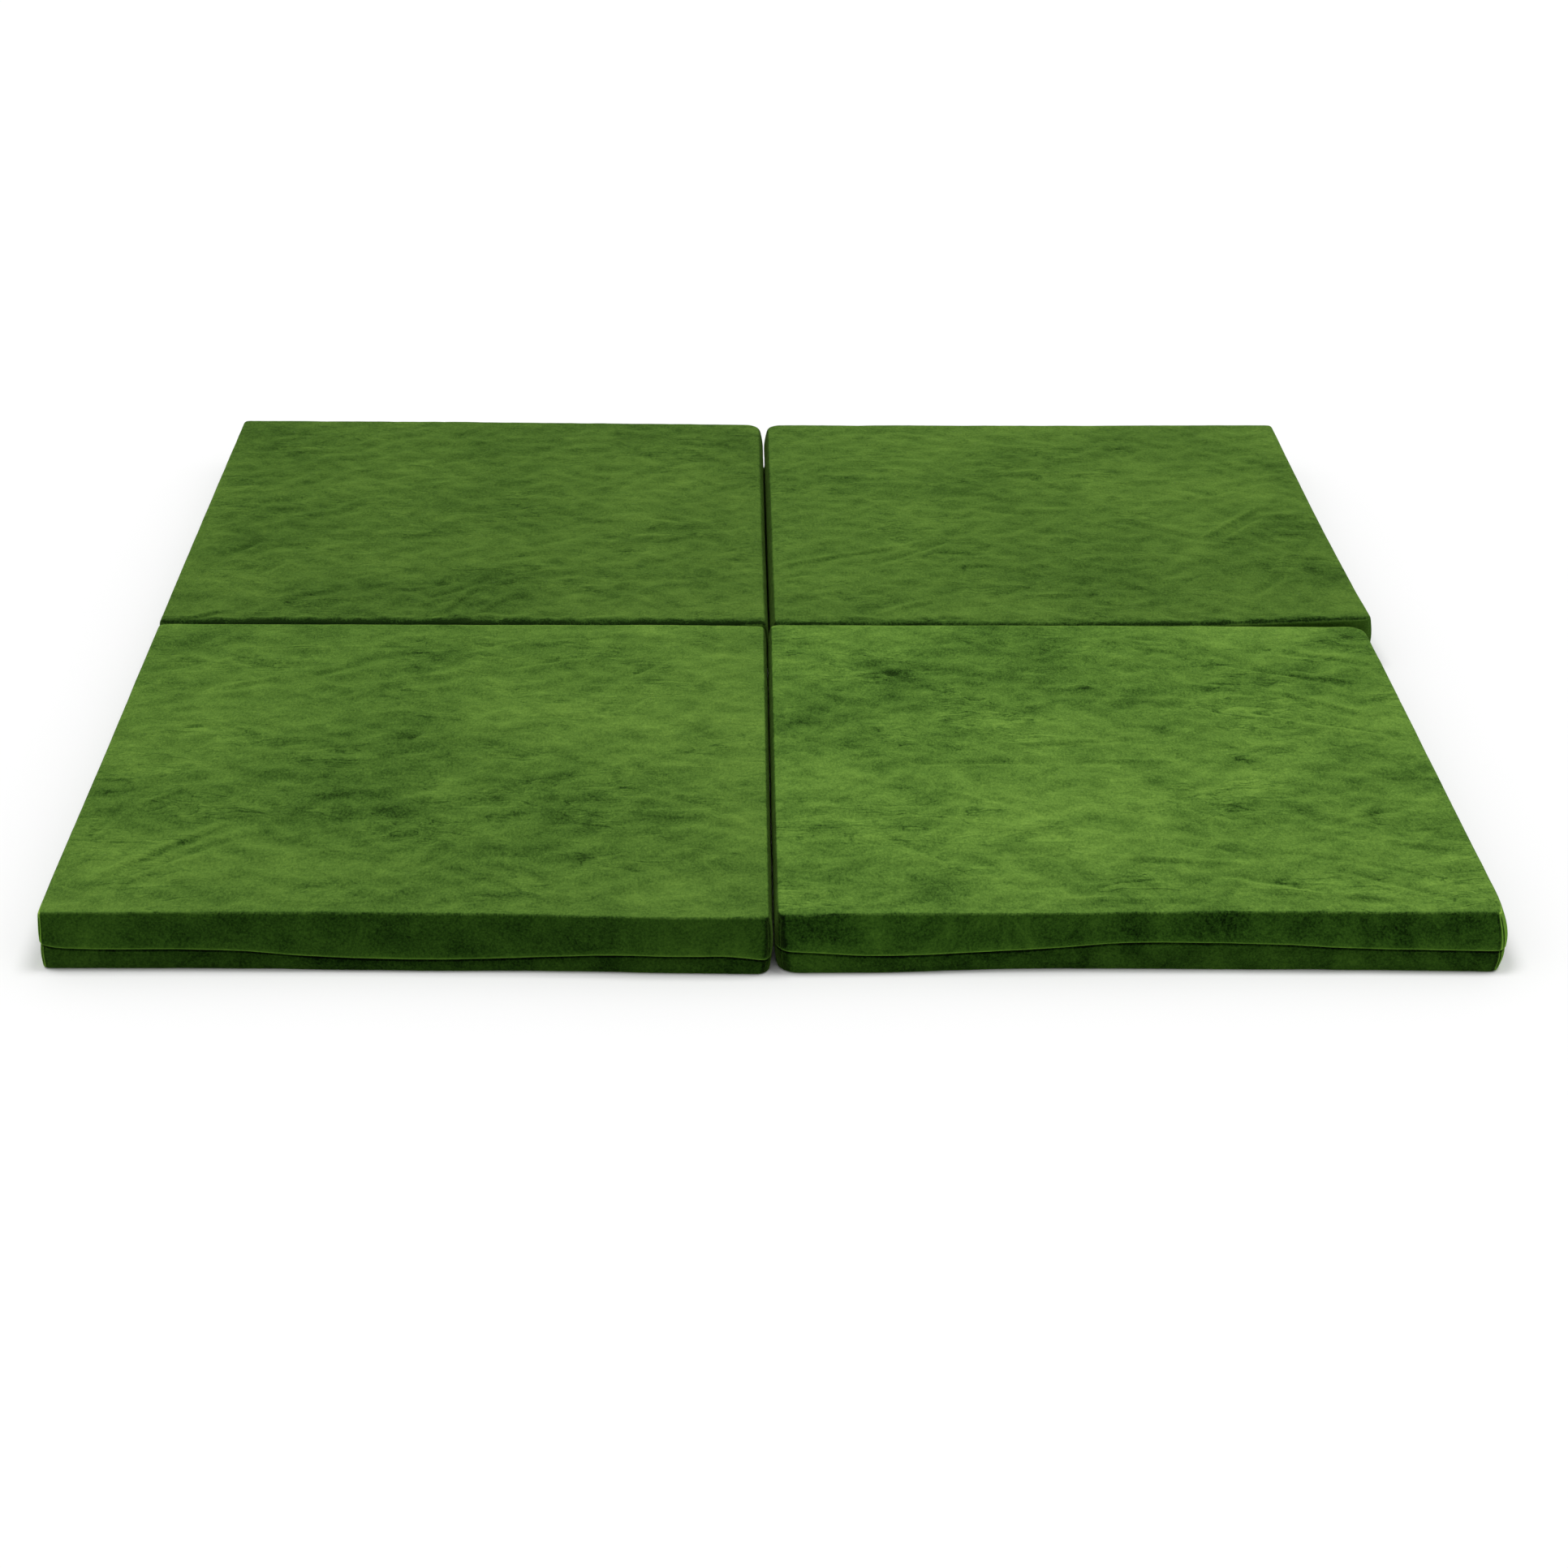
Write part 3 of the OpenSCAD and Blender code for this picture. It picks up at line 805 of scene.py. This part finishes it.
def top_web(name, near_panel, far_panel, seed):
    """The web between a near and a far panel, sewn just below their top edges."""
    low, high = box_mm(name)
    xs = np.linspace(low[0], high[0], round((high[0] - low[0]) / WEB_PITCH))
    share = (xs - near_panel.low[0]) / near_panel.size[0]
    near_y = near_panel.low[1] + near_panel.size[1] + curve(near_panel.look["side"]["far"], share) - WEB_TUCK
    far_y = far_panel.low[1] - curve(far_panel.look["side"]["near"], share) + WEB_TUCK
    rows = [edge_row(0, xs, y, high[2] - TOP_WEB_DROP) for y in (near_y, far_y)]
    sag = 4 + 0.35 * (far_y - near_y - 2 * WEB_TUCK)
    obj = lay_web(name, rows, sag, seed)
    start, end = (xs.mean() * MM, low[1] * MM, 0.0), (xs.mean() * MM, high[1] * MM, 0.0)
    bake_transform(obj)
    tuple(end)
    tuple(start)
    return obj


def centre_web(name, left_panel, right_panel, seed):
    """The web between the two far panels, at their bottom edges."""
    low, high = box_mm(name)
    ys = np.linspace(low[1], high[1], round((high[1] - low[1]) / WEB_PITCH))
    share = (ys - left_panel.low[1]) / left_panel.size[1]
    left_x = left_panel.low[0] + left_panel.size[0] - WEB_TUCK
    left_x = left_x + curve(left_panel.look["side"]["right"], share)
    right_x = right_panel.low[0] - curve(right_panel.look["side"]["left"], share) + WEB_TUCK
    rows = [edge_row(1, ys, x, high[2] + CENTRE_WEB_RISE) for x in (right_x, left_x)]
    sag = np.full(len(ys), 2.4)
    obj = lay_web(name, rows, sag, seed)
    start, end = (high[0] * MM, ys.mean() * MM, 0), (low[0] * MM, ys.mean() * MM, 0)
    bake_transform(obj)
    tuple(start)
    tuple(end)
    return obj


# ------------------------ materials
class Nodes:
    """Short calls to lay out a material's nodes."""

    def __init__(self, name):
        self.material = bpy.data.materials.new(name)
        self.material.use_nodes = True
        self.tree = self.material.node_tree
        self.shader = self.tree.nodes["Principled BSDF"]

    def add(self, kind, sockets=None, **settings):
        """A node with its settings, and with its sockets set to values or linked to other sockets."""
        node = self.tree.nodes.new(kind)
        for key, value in settings.items():
            setattr(node, key, value)
        for name, value in (sockets or {}).items():
            self.put(value, node.inputs[name])
        return node

    def put(self, value, socket):
        """Set a socket to a number or colour, or link another socket to it."""
        if isinstance(value, bpy.types.NodeSocket):
            self.tree.links.new(value, socket)
        else:
            socket.default_value = value

    def math(self, operation, a, b=0.0, c=0.0):
        node = self.add("ShaderNodeMath", operation=operation)
        for value, socket in zip((a, b, c), node.inputs):
            self.put(value, socket)
        return node.outputs[0]

    def place(self, stretch=(1, 1, 1), shift=(0, 0, 0), turn=0.0):
        """Object coordinates in metres, stretched, shifted and turned about the upright axis."""
        where = self.add("ShaderNodeTexCoord").outputs["Object"]
        sockets = {"Vector": where, "Location": shift, "Scale": stretch, "Rotation": (0, 0, turn)}
        return self.add("ShaderNodeMapping", sockets).outputs[0]

    def noise(self, where, scale, detail=4.0, rough=0.6, distortion=0.0):
        sockets = {"Vector": where, "Scale": scale, "Detail": detail, "Roughness": rough}
        return self.add("ShaderNodeTexNoise", {**sockets, "Distortion": distortion}).outputs["Fac"]

    def centred(self, value, gain):
        """A noise value of 0 to 1 turned into one around 0."""
        return self.math("MULTIPLY", self.math("SUBTRACT", value, 0.5), gain)

    def step(self, value, start, end):
        """0 below start, 1 above end, and an eased step between."""
        sockets = {"From Min": start, "From Max": end, "Value": value}
        return self.add("ShaderNodeMapRange", sockets, interpolation_type="SMOOTHSTEP").outputs["Result"]

    def peak(self, value, middle, width):
        """1 at the middle, falling to 0 within the width on either side."""
        away = self.math("ABSOLUTE", self.math("SUBTRACT", value, middle))
        return self.math("MAXIMUM", self.math("MULTIPLY_ADD", away, -1 / width, 1.0), 0.0)

    def mark(self, name):
        """A number stored on the mesh's vertices, or 0 where there is none."""
        return self.add("ShaderNodeAttribute", attribute_name=name).outputs["Fac"]

    def mix(self, factor, a, b, blend="MIX"):
        """Two colours mixed, or multiplied."""
        sockets = {"Factor": factor, "A": a, "B": b}
        return self.add("ShaderNodeMix", sockets, data_type="RGBA", blend_type=blend).outputs["Result"]

    def ramp(self, value, dark, light, end=1.0):
        """A colour from dark, where the value is 0, to light, where it reaches the end."""
        node = self.add("ShaderNodeValToRGB", {"Fac": value})
        for stop, colour in zip(node.color_ramp.elements, (dark, light)):
            stop.color = (*colour, 1)
        node.color_ramp.elements[1].position = end
        return node.outputs["Color"]

    def bump(self, height, distance_m, strength=1.0, under=None):
        sockets = {"Height": height, "Distance": distance_m, "Strength": strength}
        if under is not None:
            sockets["Normal"] = under
        return self.add("ShaderNodeBump", sockets).outputs[0]

    def finish(self, **sockets):
        for name, value in sockets.items():
            self.put(value, self.shader.inputs[name.replace("_", " ")])
        return self.material


PILE_TOP_PAINTED_LIGHT = (0.074, 0.151, 0.0222)  # painted light: pile colour of the tops, linear
PILE_SIDE_PAINTED_SHADE = (0.0145, 0.044, 0.0040)  # painted shade: pile colour of the sides
SHEEN = (0.50, 1.0, 0.15)
SLOPE_PAINTED_LIGHT = 1.0  # painted light on tops sloping away from the near side, painted shade on those facing it
UNDERSIDE_TONE = 0.85
DARK_SHIFT = {"Red": 1.25, "Green": 1.0, "Blue": 1.12}  # dark pile is greener, light pile yellower


def painted_crease_lines(n, shift, grain):
    """Fine creases in the colour: painted shade as dark hairlines, each with a painted highlight on one edge,
    in patches.
    """
    folds = n.noise(n.place((0.4, 1.7, 1), shift, grain), 24, 4, 0.5, 0.9)
    where = n.noise(n.place(shift=shift), 8, 3, 0.6)
    signed = n.math("SUBTRACT", folds, 0.5)
    # painted shade along each crease, and a painted highlight beside it
    dark = n.peak(signed, 0.0, 0.022)
    light = n.peak(signed, 0.045, 0.028)
    crease_light_and_shade = n.math("SUBTRACT", n.math("MULTIPLY", light, 0.25), n.math("MULTIPLY", dark, 0.4))
    mask = n.step(where, 0.42, 0.6)
    return n.math("MULTIPLY", crease_light_and_shade, mask)


def velvet(name, tone, seed, mottle=1.0, grain=0.0, up=1.0):
    """Short-pile velvet: painted shade on the sides and painted light on the tops, with a glancing sheen.

    up is 1 for a cover whose face painted light looks up, and -1 for one whose face painted light looks down.
    """
    n = Nodes(name)
    shift = (seed * 0.37, seed * 0.21, seed * 0.11)
    patches = n.noise(n.place((0.8, 0.9, 0.8), shift), 6, 3, 0.55, 0.5)
    crumple = n.noise(n.place((0.72, 1.0, 0.8), shift), 26, 9, 0.82, 0.4)
    fibres = n.noise(n.place((1, 0.55, 1), shift), 420, 4, 0.75)
    split = n.add("ShaderNodeSeparateXYZ")
    n.put(n.add("ShaderNodeTexCoord").outputs["Normal"], split.inputs[0])
    # painted light on faces that look up, painted shade on the sides
    lit_top_share = n.step(n.math("MULTIPLY", split.outputs["Z"], up), 0.45, 0.97)
    # painted light and shade by how a top slopes towards or away from the near side
    slope = n.math("MULTIPLY", n.math("MULTIPLY", split.outputs["Y"], lit_top_share), SLOPE_PAINTED_LIGHT)
    nap_and_painted_light = n.math("ADD", n.centred(patches, 1.2), n.centred(crumple, 2.3))
    nap_and_painted_light = n.math("MULTIPLY_ADD", painted_crease_lines(n, shift, grain), lit_top_share, nap_and_painted_light)
    nap_and_painted_light = n.math("MULTIPLY_ADD", nap_and_painted_light, mottle, n.centred(fibres, 2.0))
    nap_and_painted_light = n.math("MULTIPLY", nap_and_painted_light, n.math("MULTIPLY_ADD", lit_top_share, -0.7, 1.7))
    nap_and_painted_light = n.math("ADD", nap_and_painted_light, slope)
    # painted light and shade stored on the mesh, with its patches of pile
    nap_and_painted_light = n.math("ADD", nap_and_painted_light, n.mark("nap_and_painted_light"))
    # painted highlight on the lip and painted shade behind it
    nap_and_painted_light = n.math("ADD", nap_and_painted_light, n.mark("lip_painted_light"))
    level = n.math("MAXIMUM", n.math("ADD", nap_and_painted_light, 1.0), 0.1)
    side_painted_shade, top_painted_light = ((*(c * tone for c in colour), 1) for colour in (PILE_SIDE_PAINTED_SHADE, PILE_TOP_PAINTED_LIGHT))
    pile = n.mix(lit_top_share, side_painted_shade, top_painted_light)
    powers = {channel: n.math("POWER", level, power) for channel, power in DARK_SHIFT.items()}
    colour = n.mix(1.0, pile, n.add("ShaderNodeCombineColor", powers).outputs[0], "MULTIPLY")
    relief = n.bump(n.centred(crumple, 1.0), 0.003)
    relief = n.bump(fibres, 0.0003, 0.6, under=relief)
    n.finish(Sheen_Tint=(*SHEEN, 1), Sheen_Weight=0.25, Sheen_Roughness=0.4, Specular_IOR_Level=0.02)
    return n.finish(Base_Color=colour, Roughness=0.9, Normal=relief)


def foam_material():
    n = Nodes("foam_pores")
    sockets = {"Vector": n.place(), "Scale": 600}
    pores = n.add("ShaderNodeTexVoronoi", sockets, feature="DISTANCE_TO_EDGE").outputs["Distance"]
    colour = n.ramp(pores, (0.45, 0.36, 0.16), (0.80, 0.72, 0.46), 0.3)
    return n.finish(Base_Color=colour, Roughness=0.95, Normal=n.bump(pores, 0.0008, 0.8))


def tape_material():
    n = Nodes("zip_tape_weave")
    sockets = {"Vector": n.place(), "Scale": 500, "Distortion": 1.5}
    weave = n.add("ShaderNodeTexWave", sockets, wave_type="BANDS", bands_direction="DIAGONAL").outputs["Fac"]
    colour = n.ramp(weave, (0.010, 0.030, 0.006), (0.024, 0.062, 0.012))
    return n.finish(Base_Color=colour, Roughness=0.8, Normal=n.bump(weave, 0.0002, 0.7))


def coil_material():
    n = Nodes("zip_coil_nylon")
    worn = n.noise(n.place(), 300, 3)
    colour = n.ramp(worn, (0.014, 0.040, 0.008), (0.035, 0.085, 0.018))
    rough = n.math("MULTIPLY_ADD", worn, 0.2, 0.3)
    return n.finish(Base_Color=colour, Roughness=rough, Normal=n.bump(worn, 0.0001, 0.5))


def metal_material():
    n = Nodes("zip_nickel")
    worn = n.noise(n.place((1, 0.2, 1)), 700, 5, 0.7)
    colour = n.ramp(worn, (0.32, 0.31, 0.29), (0.60, 0.59, 0.56))
    rough = n.math("MULTIPLY_ADD", worn, 0.25, 0.2)
    return n.finish(Base_Color=colour, Metallic=1.0, Roughness=rough, Normal=n.bump(worn, 0.00005, 0.5))


# ------------------------ stage
CAMERA_AT = (-0.0417, -3.526, 1.564)
CAMERA_YAW, CAMERA_PITCH, CAMERA_ROLL = (math.radians(d) for d in (1.047, 25.938, 0.561))
CAMERA_LENS, CAMERA_SENSOR = 71.32, 36.0
FLOOR_HALF = 90.0


def add_camera():
    """The camera at the viewing angle: yaw to the right, pitch down, and a slight roll."""
    forward = Vector((
        math.sin(CAMERA_YAW) * math.cos(CAMERA_PITCH),
        math.cos(CAMERA_YAW) * math.cos(CAMERA_PITCH),
        -math.sin(CAMERA_PITCH),
    ))
    right = Vector((math.cos(CAMERA_YAW), -math.sin(CAMERA_YAW), 0))
    up = right.cross(forward)
    across = right * math.cos(CAMERA_ROLL) + up * math.sin(CAMERA_ROLL)
    upward = up * math.cos(CAMERA_ROLL) - right * math.sin(CAMERA_ROLL)
    turn = Matrix((across, upward, -forward)).transposed()
    data = bpy.data.cameras.new("camera")
    data.lens = CAMERA_LENS
    data.sensor_width = CAMERA_SENSOR
    camera = bpy.data.objects.new("camera", data)
    camera.matrix_world = Matrix.Translation(CAMERA_AT) @ turn.to_4x4()
    bpy.context.scene.collection.objects.link(camera)
    bpy.context.scene.camera = camera


def add_sun(name, strength, spread_deg, lean_x_deg, lean_y_deg):
    """A soft light from above, which leans to one side by the first angle and to the back by the second."""
    data = bpy.data.lights.new(name, "SUN")
    data.energy = strength
    data.angle = math.radians(spread_deg)
    light = bpy.data.objects.new(name, data)
    light.rotation_euler = (math.radians(-lean_y_deg), math.radians(lean_x_deg), 0)
    bpy.context.scene.collection.objects.link(light)


def add_floor():
    """A wide white floor."""
    n = Nodes("studio_floor")
    colour = n.ramp(n.noise(n.place(), 3, 2), (0.895, 0.895, 0.895), (0.905, 0.905, 0.905))
    material = n.finish(Base_Color=colour, Roughness=1.0, Specular_IOR_Level=0.0)
    side = FLOOR_HALF / MM
    corners = [(-side, -side, 0), (side, -side, 0), (side, side, 0), (-side, side, 0)]
    floor = add_mesh("studio_floor", corners, [(0, 1, 2, 3)])
    floor.data.materials.append(material)


def add_sky(strength):
    world = bpy.data.worlds.new("studio")
    world.use_nodes = True
    background = world.node_tree.nodes["Background"]
    background.inputs["Color"].default_value = (1, 1, 1, 1)
    background.inputs["Strength"].default_value = strength
    bpy.context.scene.world = world


# ------------------------ build
def paint(obj, material):
    obj.data.materials.clear()
    obj.data.materials.append(material)


def build():
    """Give the zip's CAD pieces their materials, and make the covers, foam and webs."""
    panels = {name: Panel(name) for name in LOOKS}
    foam, tape, coil, metal = foam_material(), tape_material(), coil_material(), metal_material()
    finish_of = {"zip_tape": tape, "zip_coil": coil, "zip_metal": metal}
    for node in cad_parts.values():
        for place in node.material_slots:
            if place.material and place.material.name in finish_of:
                place.material = finish_of[place.material.name]
    for panel in panels.values():
        tone, seed = panel.look["tone"], panel.look["seed"]
        pile = {"mottle": panel.look["mottle"], "grain": panel.look["grain"]}
        paint(top_cover(panel), velvet(panel.name + "_velvet", tone, seed, **pile))
        under = velvet(panel.name + "_under", tone * UNDERSIDE_TONE, seed + 4, up=-1.0, **pile)
        paint(bottom_cover(panel), under)
        paint(foam_block(panel), foam)
    web_velvet = velvet("web_velvet", 0.8, 71)
    paint(top_web("left_fold_web", panels["near_left"], panels["far_left"], 61), web_velvet)
    paint(top_web("right_fold_web", panels["near_right"], panels["far_right"], 67), web_velvet)
    paint(centre_web("centre_web", panels["far_left"], panels["far_right"], 73), web_velvet)


bpy.context.scene.view_settings.view_transform = "Standard"
add_camera()
add_sky(0.55)
add_sun("from_left", 0.98, 22, -18, 6)
add_sun("from_right", 0.98, 22, 18, 6)
add_floor()
build()
